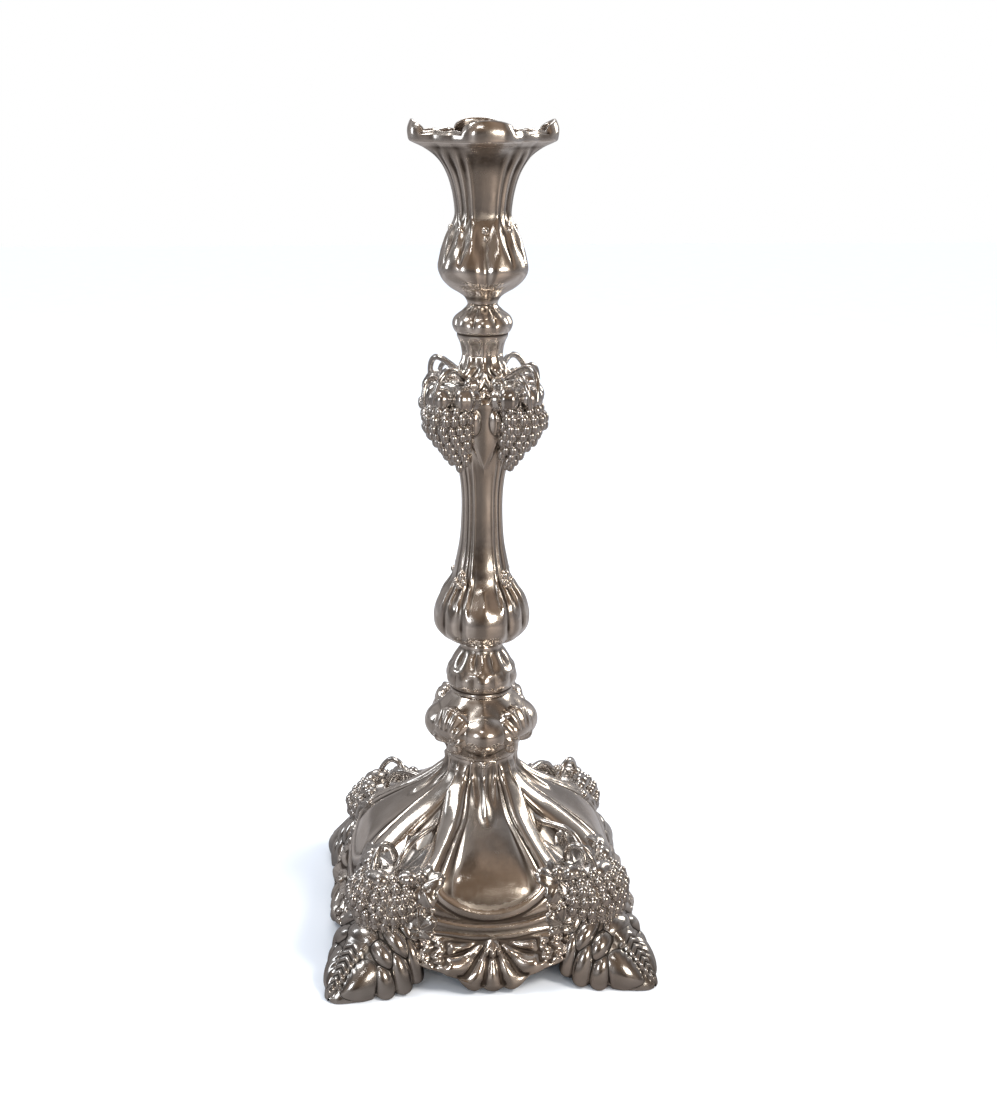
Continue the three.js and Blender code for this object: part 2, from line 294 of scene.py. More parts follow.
NOZZLE_OUTLINE = [
    # up the outside
    (6.3, NOZZLE_FOOT), (6.8, 287.8), (8.0, 289.4), (10.4, 291.1), (13.6, 293), (16.6, 295.8),
    (18.2, 298.6), (18.6, 301), (18.2, 303.6), (17.0, 307.2), (15.2, 311), (13.6, 315.5), (12.2, 320),
    (11.7, 323), (12.2, 328), (13.2, 333), (14.8, 338), (17.2, 342.6), (20.4, 346.2), (24.4, 349),
    (28.2, 350.8), (30.0, 351.8), (30.3, 353.6), (29.9, 357), (29.3, TOP - 0.3), (28.7, TOP),
    # down the throat
    (28.1, TOP - 0.5), (28.4, 357), (28.8, 353.8), (27.8, 352.4), (23.8, 350.6), (19.6, 347.4),
    (16.2, 343.4), (13.8, 338.4), (12.1, 333), (11.2, 328), (10.7, 323.4), (10.9, 320),
]


def rim_tongue(off):
    """The rim's rounded tongue on each face: 1 on its top, 0 in the low stretch beside it."""
    return np.clip(1 - (off / 22.5) ** 2, 0, 1) ** 0.55


def nozzle_shape(radius, angle, height):
    off = np.abs(off_face(angle))
    corner = (1 - np.cos(4 * angle)) / 2
    bulb = swell(height, 288, 320)
    trumpet = smoothstep(315, 323, height) * (1 - smoothstep(342, 351, height))
    rim = smoothstep(344, 352.5, height)
    lobe = 1 - smoothstep(10, 36, off)
    wide = smoothstep(11, 26, radius)
    new_radius = radius * (1 + 0.12 * bulb * corner + 0.05 * trumpet * corner)
    new_radius *= 1 - 0.165 * rim * wide * (1 - lobe)
    wave = 0.22 * np.cos(np.radians(45 - off) * 16) * (off > 22.5)
    new_height = height - (4.1 + wave) * smoothstep(353, TOP, height) * (1 - rim_tongue(off))
    relief = trumpet * ribs_and_flutes(angle)
    relief -= 1.25 * bulb * bell(off, 0, 7.5) * smoothstep(288, 297, height)
    drop = bell(off, 21, 8) * swell(height, 303, 323)
    leaf_bud = bell(45 - off, 0, 7) * swell(height, 306, 326)
    neck = swell(height, 285, 291.5)
    relief += 1.5 * drop + 1.2 * leaf_bud + 0.22 * neck * np.cos(12 * angle)
    relief -= 0.7 * bulb * bell(off, 33, 2.4) * swell(height, 300, 318)
    relief += 0.6 * rim_tongue(off) * swell(height, 351.8, TOP + 1)
    return new_radius, new_height, np.where(radius > 10.95, relief, 0)


def nozzle():
    line = smooth_line(NOZZLE_OUTLINE, 0.55)
    radius, angle, height = lathe(line, 288)
    radius, height, relief = nozzle_shape(radius, angle, height)
    # the outside, the rim and the throat are one skin, with relief on the outside only
    outside = np.arange(len(line))[:, None] < np.argmax(line[:, 1])
    skin = placed(radius, angle, height)
    skin = skin + normals_of(skin) * (relief * outside)[..., None]
    lining = [(9.6, 316), (12.2, 309), (14.2, 303), (14.4, 300), (12.6, 296.6), (8.6, 294.6),
              (4.6, 293.4), (4.6, 288.6), (4.6, NOZZLE_FOOT)]
    inner = placed(*lathe(smooth_line(lining, 1.5), 288))
    # the flare under the rim counts as half recessed, darker and rougher: painted shade under the rim
    shade_under_rim = 0.5 * swell(height, 337, 353) * outside
    shade = np.concatenate([shade_under_rim, np.zeros(inner.shape[:2])])
    patches = [grid_patch(np.concatenate([skin, inner]), shade, wrap_rows=True)]
    for step in range(8):
        angle = step * math.pi / 4
        reach = 14.3 if step % 2 else 13.2
        patches.append(turned(ball((reach, 0, 317), (1.2, 1.5, 1.7)), angle))
        patches.append(turned(ball((reach + 0.5, 0, 313.8), (0.9, 1.0, 1.3)), angle))
    return patches


UPPER_KNOP_OUTLINE = [
    (8.2, STEM_TOP), (8.5, 267.6), (9.2, 270), (10.4, 272.2), (11.3, 274), (11.9, 275.4), (12.4, 277.4),
    (12.1, 279.2), (11.2, 280.9), (9.6, 282.4), (8.0, 283.7), (6.9, 284.9), (6.3, UPPER_KNOP_TOP),
]


def upper_knop_shape(radius, angle, height):
    lobes = np.abs(np.cos(4 * angle)) ** 0.8
    upper = swell(height, 273.6, 285.6)
    relief = 1.0 * upper * (lobes - 0.55) + 0.45 * smoothstep(274, 268, height) * np.cos(8 * angle)
    relief -= 0.5 * bell(height, 273.9, 0.7)
    relief += 0.2 * swell(height, 282.5, 286.5) * np.cos(14 * angle)
    return radius, height, relief * smoothstep(UPPER_KNOP_TOP, UPPER_KNOP_TOP - 2, height)


STEM_OUTLINE = [
    (9.2, STEM_FOOT), (9.8, 136.7), (12.8, 137.9), (16.6, 139.7), (19.3, 142.2), (20.9, 145),
    (21.3, 148.3), (21.1, 151.2), (20.3, 154.2), (18.9, 157.2), (16.8, 160.4), (14.4, 163.8),
    (12.9, 167.4), (12.0, 172.4), (11.1, 176.8), (10.2, 181.6), (9.6, 187), (9.2, 194), (9.1, 201),
    (9.4, 207.4), (10.2, 213.4), (11.6, 219.4), (13.2, 226), (14.6, 233), (15.4, 240), (15.2, 246),
    (13.8, 251.6), (11.8, 256), (9.8, 259.6), (8.7, 262.4), (8.2, STEM_TOP),
]


def stem_shape(radius, angle, height):
    off = np.abs(off_face(angle))
    corner = 45 - off
    across = radius * np.radians(off)
    column = smoothstep(161, 170, height) * (1 - smoothstep(214, 228, height))
    relief = column * ribs_and_flutes(angle)
    # the bulb: a wide lobe on each face and a narrow one on each corner, with tongues from the ribs
    bulb = swell(height, 136, 163)
    new_radius = radius * (1 - 0.03 * bulb * bell(corner, 0, 16))
    relief -= 0.95 * swell(height, 137, 160) * bell(off, 31, 5.2)
    relief += 0.7 * bulb * bell(corner, 0, 8)
    relief += 1.2 * swell(height, 151, 172) * (bell(corner, 7, 3.6) + bell(corner, 20, 3.6))
    relief += 0.5 * swell(height, 152, 166) * bell(off, 0, 6)
    # the shield: a smooth panel that narrows to a point over the column
    edge = 216.5 + 2.7 * across
    relief += 0.65 * bell((height - edge) / 2.9, 0, 0.55) * swell(height, 212, 256)
    relief += 0.5 * smoothstep(0, 3, height - edge) * (1 - smoothstep(243, 252, height))
    drop = np.hypot((across - 4.6) / 3.0, (height - 239) / 6.2)
    relief += 1.7 * np.clip(1 - drop**2, 0, 1) ** 1.3
    relief += 0.9 * bell(height, 246.6, 1.7) * bell(across, 0, 7)
    # the leafy top of the shield and the ribbed cove above it
    leafy = np.sin(np.radians(off) * 13 + 0.4 * (height - 250)) * np.cos(0.75 * (height - 250) + off / 12)
    relief += swell(height, 246, 263) * (0.9 * leafy + 0.8 * np.cos(np.radians(off) * 9))
    relief += 0.45 * smoothstep(254, 260, height) * np.cos(8 * angle)
    return new_radius, height, relief * smoothstep(STEM_FOOT - 0.6, STEM_FOOT + 2, height)


def stem_buds():
    """Small buds where the corner ribs run into the bulb, on the +X side."""
    return [
        ball((13.6, 0, 169.5), (1.7, 1.9, 2.7)), ball((15.2, 0, 165.6), (1.4, 1.6, 1.6)),
        ball((14.6, 2.4, 167.4), (1.2, 1.2, 1.6)), ball((14.6, -2.4, 167.4), (1.2, 1.2, 1.6)),
    ]


LOWER_KNOP_OUTLINE = [
    (13.0, COLLAR_TOP), (13.8, 113.5), (14.2, 114.4), (13.8, 115.2), (14.2, 116), (15.1, 117.6),
    (15.7, 119.8), (15.5, 122.2), (14.7, 124.6), (13.3, 127), (11.8, 129.4), (10.5, 131.6), (9.5, 133.6),
    (9.2, STEM_FOOT),
]


def lower_knop_shape(radius, angle, height):
    lobes = np.abs(np.sin(5 * angle)) - 0.5
    relief = 1.0 * swell(height, 123.4, 135.6) * lobes + 1.0 * swell(height, 115, 126) * lobes
    relief += 0.45 * bell(height, 124.6, 1.1) * np.abs(np.cos(5 * angle))
    return radius, height, relief


COLLAR_OUTLINE = [
    (16.0, COLLAR_FOOT), (16.0, 85.4), (16.5, 87.2), (17.6, 89.2), (19.4, 91.6), (21.2, 94.4),
    (22.3, 97.4), (22.3, 100.4), (21.1, 103.6), (18.9, 106.5), (16.7, 109), (14.8, 111), (13.6, 112.4),
    (13.0, COLLAR_TOP),
]


def collar_shape(radius, angle, height):
    off = np.abs(off_face(angle))
    corner = 45 - off
    wing = (1 - smoothstep(9, 25, corner)) * swell(height, 89, 113)
    new_radius = radius * (1 + 0.16 * wing)
    across = radius * np.radians(off)
    boss = np.hypot(across / 12.5, (height - 97) / 9.8)
    relief = 3.4 * np.clip(1 - boss**2, 0, 1) ** 1.25
    relief += 0.45 * swell(height, 103.5, 113) * np.cos(8 * angle)
    relief += 0.6 * swell(height, 84.2, 90) * (bell(off, 0, 6) + bell(off, 17, 6))
    above_foot = smoothstep(COLLAR_FOOT, COLLAR_FOOT + 1.5, height)
    below_top = smoothstep(COLLAR_TOP, COLLAR_TOP - 1.6, height)
    return new_radius, height, relief * above_foot * below_top


def collar_shell():
    """A scallop shell whose ribs rise and spread from a bead, standing on the collar's corner at +X."""
    spread = np.radians(np.linspace(-96, 96, 97))[None, :]
    out = np.linspace(0.04, 1, 30)[:, None]
    rim = 1 + 0.03 * np.abs(np.cos(spread * 6.5))
    up = 15.8 * out * rim * np.cos(spread * 0.9)
    side = 11.6 * out**0.8 * rim * np.sin(spread * 0.9)
    ribs = 0.34 * smoothstep(0.1, 0.5, out) * np.cos(spread * 13)
    reach = 22.6 + 3.2 * np.sin(np.pi * 0.95 * out) - 0.6 * out**2 - 0.034 * side**2
    outer = np.stack([reach + ribs, side, 93.6 + up], -1)
    inner = np.stack([reach - 1.2 - 3.8 * out, side, 93.6 + up], -1)
    loop = np.concatenate([outer, inner[:, ::-1]], 1)
    rim_line = (outer[-1:] + inner[-1:]) / 2
    closing = np.concatenate([rim_line, rim_line[:, ::-1]], 1)
    shell = np.concatenate([end_caps(loop)[0], loop, closing])
    bead = ball((17.9, 0, 90.2), (2.8, 3.8, 3.8))
    # the whole shell counts as less recessed, so its hollow inside stays light: painted light against
    # painted shade
    return [grid_patch(shell, -0.25), bead]


# ---- Base ----

BASE_HEM = 1.0
APRON_TOP = 26.0
BASE_OUTLINE = [
    (67.6, BASE_HEM + 0.6), (68.4, BASE_HEM), (69.3, BASE_HEM + 0.5), (69.2, 2.4), (68.2, 5),
    (66.6, 9.6), (64.9, 14), (63.4, 18.2), (62.4, 21.4), (61.0, 24.4), (60.2, 27.4), (59.6, 30.4),
    (58.9, 34), (57.4, 38.6), (55.2, 43), (52, 47.5), (47.4, 51.8), (41.4, 56), (35, 60), (29.6, 63.2),
    (25, 66.4), (21, 69.8), (17.9, 73), (15.9, 76.4), (15.3, 79.8), (15.7, COLLAR_FOOT),
]


def base_body(radius, angle, height):
    """The dome without ornament: it turns from a round neck into a soft square with an arched hem."""
    power = 3
    square = (np.abs(np.cos(angle)) ** power + np.abs(np.sin(angle)) ** power) ** (-1 / power)
    squareness = 1 - smoothstep(40, 82, height)
    off = np.abs(off_face(angle))
    arch = 0.42 * smoothstep(5, 21, off) + 0.43 * smoothstep(28, 40, off)
    drop = np.maximum(APRON_TOP - height, 0)
    flare = 0.336 * drop * smoothstep(20, 40, off)
    sag = 9.0 * bell(off, 45, 14) * swell(height, 38, 70)
    new_height = np.where(height < APRON_TOP, APRON_TOP - drop * (1 - arch), height - sag)
    return (radius - flare) * (1 + (square - 1) * squareness), new_height


def base_shape(radius, angle, height):
    off = np.abs(off_face(angle))
    new_radius, new_height = base_body(radius, angle, height)
    scallop = 1.7 * (1 - shell_flutes(radius, off, height)) * smoothstep(7, 1, height)
    relief = straps(off, height, radius) + drop_and_panel(off, height, radius) + mouldings(off, height)
    relief += apron(off, height, radius)
    return new_radius, new_height + scallop, relief * smoothstep(COLLAR_FOOT, COLLAR_FOOT - 1.5, height)


STRAP_ANGLE = 29.5


def straps(off, height, radius):
    """A rounded strap beside a thin rib runs down each side of a panel and ends in a lip."""
    to_neck = smoothstep(COLLAR_FOOT, COLLAR_FOOT - 6, height)
    centre = STRAP_ANGLE + 9 * smoothstep(60, 74, height)
    half_width = np.degrees(4.9 / np.maximum(radius, 15)) * (1 - 0.25 * smoothstep(66, 78, height))
    share = np.clip((off - centre) / half_width, -1, 1)
    run = smoothstep(45, 48.5, height + 0.05 * (off - STRAP_ANGLE) ** 2) * to_neck
    relief = 1.9 * np.clip(1 - share**4, 0, 1) ** 0.7 * run
    rib_run = smoothstep(40, 46, height) * to_neck
    relief += 0.7 * bell(off, centre - half_width - 2.6, 1.3 + 0.8 * smoothstep(60, 80, height)) * rib_run
    ridge = 0.5 * bell(off, 45, 2.2) * smoothstep(66, 74, height) * to_neck
    return relief + ridge


def drop_and_panel(off, height, radius):
    """A long drop between two ribs comes down from the neck, and a groove edges the panel below it."""
    across = radius * np.radians(off)
    width = 1.5 + 0.5 * bell(height, 64.5, 2.5) - 0.5 * bell(height, 70, 4)
    drop = 1.5 * bell(across, 0, width) * smoothstep(60.5, 63.5, height)
    beside = 0.8 * bell(across, 5.2 - 0.05 * (80 - height), 1.1) * smoothstep(65, 72, height)
    groove = 0.35 * bell(off, 17.6, 1.8) * smoothstep(38, 44, height) * smoothstep(64, 56, height)
    return drop + beside - groove


def mouldings(off, height):
    """A torus and a flat band under each panel, lowest in the middle of the face."""
    within = smoothstep(31, 24, off)
    first = 32.4 + 8.0 * (off / 21) ** 2
    second = 27.4 + 4.8 * (off / 27) ** 2
    band = 22.4 + 2 * (off / 27) ** 2
    relief = 0.95 * bell(height, first, 2.1) - 0.3 * bell(height, first - 3.3, 0.9)
    relief += 0.75 * smoothstep(band - 0.6, band + 0.6, height) * smoothstep(second + 1.4, second, height)
    relief += 0.5 * bell(height, second - 0.4, 0.9)
    return relief * within


FLUTE_CENTRE = 25


def shell_flutes(radius, off, height):
    """1 on the middle of each lobe of the shell, 0 in the grooves between them."""
    across = radius * np.radians(off)
    fan = np.degrees(np.arctan2(across, np.maximum(FLUTE_CENTRE - height, 0.5)))
    return np.abs(np.cos(np.radians(fan * 90 / 11)))


def apron(off, height, radius):
    """A lobed shell hangs in the middle of each face, with rolled drops beside it along the arch."""
    across = radius * np.radians(off)
    below = np.maximum(22 - height, 0)
    lobes = shell_flutes(radius, off, height)
    inside = smoothstep(19.5, 16.5, across - 0.12 * below)
    shell = inside * smoothstep(0.5, 3.5, below) * smoothstep(0.6, 3.4, height)
    relief = shell * (2.3 * lobes**0.8 + 1.3 * swell(below, 5, 23) - 0.7)
    relief += 0.9 * inside * bell(height, 16.6 + 0.06 * across, 1.8) * lobes
    relief += 2.4 * dome(np.hypot(across, height - 18.6), 3.8)
    rolls = np.abs(np.sin(across * 0.5 + 0.5 * np.sin(height * 0.5))) ** 0.9
    beside = smoothstep(18.5, 21.5, across) * smoothstep(22, 17, height) * smoothstep(1.2, 5, height)
    relief += beside * (1.5 * rolls - 0.4 + 0.3 * np.sin(height * 1.3 + across))
    return relief


def strap_knobs(side):
    """The knob at the end of a strap and four beads below it, on one side of the +X face."""
    patches = [turned(ball((57.6, 0, 42.6), (3.6, 3.8, 3.8)), math.radians(28.5 * side))]
    for step in range(4):
        bead = ball((61.6 + 0.6 * step, 0, 34 - 1.2 * step), (1.7, 1.8, 2.2))
        patches.append(turned(bead, math.radians((24 + 3.6 * step) * side)))
    return patches


def base_shell():
    outline = smooth_line(BASE_OUTLINE, 0.62)
    patches = [section(outline, 512, base_shape, inner_every=9)]
    for face in range(4):
        for side in (-1, 1):
            patches += [turned(patch, face * math.pi / 2) for patch in strap_knobs(side)]
    return patches


# ---- Balls, leaves, wires and bunches ----

def unit_ball(subdivisions):
    ball_mesh = bmesh.new()
    bmesh.ops.create_icosphere(ball_mesh, subdivisions=subdivisions, radius=1)
    verts = np.array([v.co[:] for v in ball_mesh.verts])
    faces = np.array([[v.index for v in f.verts] for f in ball_mesh.faces])
    ball_mesh.free()
    return verts, faces


LARGE_BALL, SMALL_BALL = unit_ball(3), unit_ball(2)


def ball(centre, radii, outward=(1, 0, 0), small=False):
    """An ellipsoid whose side away from outward counts as recessed."""
    verts, faces = SMALL_BALL if small else LARGE_BALL
    away = -(verts @ unit(np.array(outward, float)))
    # the side away from outward is darkened: painted shade where the ball sits against its neighbours,
    # with tarnish
    return np.array(centre) + verts * np.array(radii), faces, 0.8 * smoothstep(-0.6, 0.3, away)


def wire(points, radius, tip):
    """A round wire through points that thins to tip times its radius at its last end."""
    line = smooth_line(points, 0.5)
    along = unit(np.gradient(line, axis=0))
    side = unit(np.cross(along, (0.31, 0.92, 0.2)))  # no wire runs in this direction
    up = np.cross(along, side)
    angle = np.linspace(0, 2 * np.pi, 14, endpoint=False)
    thickness = radius * (1 - (1 - tip) * np.linspace(0, 1, len(line)))
    thickness[0] = thickness[-1] = 0
    ring = np.cos(angle)[None, :, None] * side[:, None] + np.sin(angle)[None, :, None] * up[:, None]
    return grid_patch(line[:, None] + ring * thickness[:, None, None])


LEAF_LOBES = 5


def leaf_grid(columns, rows, notch, blunt, teeth):
    """Grids over a lobed leaf: the turn, the share of the way to its edge, and both as u and v.

    notch is the depth between its lobes, blunt rounds it off and teeth(turn) scales the edge.
    """
    turn = np.linspace(0, 2 * np.pi, columns, endpoint=False)[None, :]
    out = np.linspace(0, 1, rows)[:, None]
    lobed = 1 - notch + notch * np.sqrt(np.cos(turn * LEAF_LOBES / 2) ** 2 + blunt)
    reach = out * (1 - (1 - lobed * teeth(turn)) * out**2)
    return turn, out, reach * np.cos(turn), reach * np.sin(turn)


def veins(u, v, width):
    """1 along the middle of each leaf lobe, 0 between them. u and v are 1 at the leaf's edge."""
    vein = np.zeros_like(u)
    for k in range(LEAF_LOBES):
        axis = 2 * np.pi * k / LEAF_LOBES
        beside = np.abs(-u * math.sin(axis) + v * math.cos(axis))
        ahead = smoothstep(0, 0.12, u * math.cos(axis) + v * math.sin(axis))
        vein = np.maximum(vein, np.exp(-((beside / width) ** 2)) * ahead)
    return vein


def leaf(centre, along, outward, length, width, cup, thickness):
    """A lobed, veined leaf. along points from its stalk to its tip, outward is its upper side."""
    along = unit(np.array(along, float))
    outward = np.array(outward, float)
    outward = unit(outward - along * (outward @ along))
    across = np.cross(outward, along)
    turn, out, u, v = leaf_grid(120, 24, 0.30, 0.02, lambda turn: 1 + 0.04 * np.cos(25 * turn))
    vein = veins(u, v, 0.05)
    size = (length + width) / 2
    puff = 0.045 * (1 + np.cos(turn * LEAF_LOBES)) * out**1.5
    height = size * (-cup * out**2 + puff) + 0.3 * vein
    top = np.stack([u * length / 2, v * width / 2, height], -1)
    bottom = top[::-1] - np.array([0, 0, thickness])
    placed_grid = np.array(centre) + np.concatenate([top, bottom]) @ np.stack([along, across, outward])
    # raised veins count as rubbed, and the underside as recessed: painted shade under the leaf
    shade = np.concatenate([0.35 - 0.5 * vein + 0.1 * (1 - out), np.full_like(u, 0.8)])
    return grid_patch(placed_grid, shade)


def base_point(angle, run):
    """Points of the plain base at an angle and at a distance along its outline from the hem."""
    line = smooth_line(BASE_OUTLINE, 0.5)
    runs = runs_along(line)
    radius = np.interp(run, runs, line[:, 0])
    height = np.interp(run, runs, line[:, 1])
    new_radius, new_height = base_body(radius, angle, height)
    return placed(new_radius, angle, new_height)


def leaf_on_base(off_corner, run, length, width, lift, tilt=0.0):
    """A lobed leaf that lies on the base near the +X side, with its tip towards the hem.

    It is laid on the base's corner first and then turned from there to +X.
    """
    turn, out, u, v = leaf_grid(
        144, 30, 0.32, 0.015, lambda turn: 0.97 + 0.05 * np.abs(np.cos(10 * turn)))
    down = (u * math.cos(tilt) - v * math.sin(tilt)) * length / 2
    side = (u * math.sin(tilt) + v * math.cos(tilt)) * width / 2
    centre_radius = np.linalg.norm(base_point(np.array([math.pi / 4]), np.array([run]))[0, :2])
    angle = math.pi / 4 + math.radians(off_corner) + side / centre_radius
    points = base_point(angle, run - down)
    beside = base_point(angle + 0.01, run - down)
    above = base_point(angle, run - down + 1)
    normal = unit(np.cross(beside - points, above - points))
    vein = veins(u, v, 0.06)
    puff = 1.1 * np.sqrt(np.cos(turn * LEAF_LOBES / 2) ** 2 + 0.12) * out * (1.4 - out)
    wave = 0.2 * np.sin(5 * u + 4 * v) * np.sin(5 * v - 3 * u)
    height = lift * (1 - 0.7 * out**6) + puff + wave + 0.28 * vein
    top = points + normal * height[..., None]
    bottom = (points - normal * 0.8)[::-1]
    # raised veins count as rubbed, and the underside as recessed: painted shade under the leaf
    shade = np.concatenate([0.12 - 0.4 * vein + 0 * u, np.full_like(u, 0.8)])
    return turned(grid_patch(np.concatenate([top, bottom]), shade), -math.pi / 4)


def bunch(profile, berry):
    """Upright oval berries packed over a lump on the +X side, and the dark core between them.

    berry is the radius of one. The profile's rows are (height, radius of the centre, half depth, half
    width), from the top down.
    """
    patches = []
    start, end = math.radians(-112), math.radians(112)
    for row, (z, centre, depth, width) in enumerate(smooth_line(profile, berry * 2.05)):
        length = (depth + width) / 2 * (end - start)
        count = max(int(round(length / (berry * 2.0))), 1)
        pitch = (end - start) / count
        turns = start + pitch * (np.arange(count) + (0.75 if row % 2 else 0.25))
        for turn in turns:
            size = berry * random.uniform(0.88, 1.12)
            tuck = -0.3 * berry + random.uniform(-0.22, 0.22) * berry
            turn = turn + random.uniform(-0.14, 0.14) * pitch
            place = (centre + (depth + tuck) * math.cos(turn), (width + tuck) * math.sin(turn),
                     z + random.uniform(-0.2, 0.2) * berry)
            outward = (math.cos(turn), math.sin(turn), 0.5)
            patches.append(ball(place, (size * 0.95, size * 0.95, size * 1.3), outward, small=True))
    patches.append(bunch_core(profile, berry * 0.6))
    return patches


def bunch_core(profile, shrink):
    """The lump of a bunch, made smaller so that it only shows as the dark between the berries."""
    turn = np.linspace(0, 2 * np.pi, 40, endpoint=False)[None, :]
    z, centre, depth, width = (column[:, None] for column in smooth_line(profile, 1.0).T)
    core = np.stack([centre + np.maximum(depth - shrink, 0.4) * np.cos(turn),
                     np.maximum(width - shrink, 0.4) * np.sin(turn), z + 0 * turn], -1)
    first, last = end_caps(core)
    # fully recessed, so the core shows as a dark lump: painted shade between the berries
    return grid_patch(np.concatenate([first, core, last]), 1.0)


def lobe(centre, radii, tilt=0.0):
    """A smooth leaf lobe: a flattened ball with a soft crease down its outer side, on the +X side."""
    verts, faces = LARGE_BALL
    crease = bell(verts[:, 1], 0, 0.22) * smoothstep(-0.1, 0.6, verts[:, 0])
    shaped = verts * np.array(radii) * (1 - 0.16 * crease[:, None])
    shaped, faces, recess = turned((shaped, faces, 0.5 * crease), tilt)
    # its lower side counts as more recessed and darker: painted shade under the lobe
    return np.array(centre) + shaped, faces, recess + 0.3 * smoothstep(-0.3, -0.9, verts[:, 2])


def stem_bunch():
    """Smooth leaf lobes over a tapering bunch of grapes, on the +X side."""
    profile = [(244.6, 21.2, 8.2, 8.8), (241.6, 22.2, 9.4, 10.4), (237, 21.4, 9.0, 10),
               (231.5, 19, 7.7, 8.2), (226.6, 17, 6.1, 6), (222.4, 15.2, 4.2, 3.8), (219, 13.8, 2.0, 1.4)]
    patches = bunch(profile, 2.05)
    patches.append(lobe((26.4, 0, 249.8), (5.0, 5.4, 5.4)))
    patches.append(ball((18.4, 0, 248.6), (8.0, 9.0, 6.4)))
    patches.append(leaf((18.8, 0, 255.0), along=(0.75, 0, -0.2), outward=(0.3, 0, 1), length=15, width=18,
                        cup=0.16, thickness=1.4))
    for side in (-1, 1):
        patches.append(lobe((21.0, 8.0 * side, 249.6), (5.0, 5.0, 5.8), 0.9 * side))
        patches.append(lobe((15.6, 8.2 * side, 248.6), (3.8, 4.0, 4.8), 1.2 * side))
        patches.append(lobe((14.2, 6.4 * side, 254.4), (3.4, 3.6, 3.8), 1.0 * side))
    return patches


def stem_tendrils():
    """A ribbon that springs from the stem over the leaves, with a short curled shoot beside it."""
    loop = [(9.2, 0.5, 255.2), (12.5, 1.0, 256.4), (16.5, 1.8, 258.8), (20.8, 2.6, 261.0),
            (24.8, 2.4, 261.0), (28.0, 1.4, 258.0), (29.6, 0.2, 253.4), (30.2, -0.8, 248)]
    shoot = [(20, -4.5, 254), (24.5, -5.6, 257.6), (28.4, -6, 256), (30.2, -6, 251.5), (30.6, -5.6, 246)]
    return [wire(loop, 1.45, 0.8), wire(shoot, 1.3, 0.7)]


def base_bunch():
    """Vine leaves on the corner of the dome over a wide bunch of grapes, on the +X side."""
    profile = [(45.5, 62.6, 8.4, 9.5), (42.5, 64, 11, 14), (38.5, 65.4, 12.2, 17), (33, 66.4, 12.2, 16.8),
               (28, 67, 10.8, 13), (24, 66.8, 7.6, 8)]
    patches = bunch(profile, 2.35)
    patches.append(leaf_on_base(0, 56, 30, 34, lift=1.4))
    for side in (-1, 1):
        patches.append(leaf_on_base(15.5 * side, 47, 22, 20, tilt=-0.6 * side, lift=2.2))
        patches.append(leaf_on_base(17 * side, 28.5, 19, 17, tilt=-0.4 * side, lift=2.2))
        patches.append(lobe((62.0, 11.4 * side, 47.0), (3.8, 4.6, 3.8), 0.5 * side))
        patches.append(ball((57.0, 14.8 * side, 47.4), (2.8, 3.0, 2.8), (0.6, 0.3 * side, 0.7)))
    patches.append(lobe((68.6, 0, 46.2), (4.4, 6.2, 4.0)))
    return patches


def base_tendrils():
    """Two ribbons bridge the hollow between the corner ridge and the bunch."""
    bridge = [(27, 0.6, 60.6), (31, 0.9, 58.6), (36, 1.4, 57.4), (42, 2.2, 57.6), (47.5, 2.8, 57.4),
              (52.4, 2.8, 55.2), (56.8, 2.4, 50.6), (59.6, 1.6, 45)]
    loop = [(52.6, -4, 46.5), (53.8, -4.8, 51.6), (57, -5.2, 55.8), (61.6, -4.8, 56.6), (65.4, -4, 53.6),
            (68.2, -3.2, 48.6), (70, -2.6, 43)]
    return [wire(bridge, 1.6, 0.85), wire(loop, 1.6, 0.8)]


# ---- Feet ----

FOOT_LOBES = (
    # place along the foot, place across, half length, half width, height in millimetres; along runs
    # from 0 at the base to 1 at the toe, and across from 0 on the spine to 1 at the hem
    (0.68, 0.60, 0.21, 0.42, 2.3),
    (0.46, 0.90, 0.095, 0.36, 2.6), (0.28, 0.90, 0.09, 0.36, 2.6), (0.10, 0.90, 0.09, 0.36, 2.4),
    (0.37, 0.45, 0.085, 0.24, 2.2), (0.19, 0.45, 0.085, 0.26, 2.2), (0.02, 0.45, 0.085, 0.26, 2.0),
)
FOOT_HEM_LOBES = (0.46, 0.28, 0.10)


def foot_relief(s, t):
    """Rounded lobes on both sides of a feathered spine that ends in the toe."""
    beside = np.abs(t)
    relief = np.zeros_like(s + t)
    for along, across, half_length, half_width, high in FOOT_LOBES:
        distance = np.hypot((s - along) / half_length, (beside - across) / half_width)
        relief = np.maximum(relief, high * np.clip(1 - distance**2, 0, 1) ** 0.75)
    spine = smoothstep(0.30, 0.16, beside) * smoothstep(0.28, 0.42, s)
    barbs = np.sin(2 * np.pi * (15 * s - 3.2 * beside))
    relief = np.maximum(relief, 2.0 * spine * np.sqrt(np.clip(1 - (t / 0.32) ** 2, 0, 1)))
    relief += 0.34 * barbs * smoothstep(0.46, 0.05, beside) * smoothstep(0.44, 0.56, s)
    brow = np.hypot((s - 0.36) / 0.11, t / 0.3)
    return np.maximum(relief, 2.8 * np.clip(1 - brow**2, 0, 1) ** 0.7)


FOOT_ROOT = 62
FOOT_SPINE = [(65, 0, 33), (73, 0, 28.6), (80, 0, 22.6), (86.5, 0, 15.8), (92.4, 0, 9.6), (96.8, 0, 5),
              (TOE_RADIUS - 0.2, 0, 2.0)]
FOOT_EDGE = [(63.5, 20.5, 8), (68.5, 22.0, 3.6), (75, 19.8, 1.2), (81.5, 15.8, 0.4), (88, 11.9, 0.3),
             (94, 7.9, 0.3), (98.2, 4.0, 0.3), (TOE_RADIUS - 0.2, 0.8, 0.3)]


def points_along(points, share):
    """Points of the smooth line through points at shares of its length."""
    line = smooth_line(points, 0.4)
    return np.column_stack([np.interp(share, np.linspace(0, 1, len(line)), column) for column in line.T])


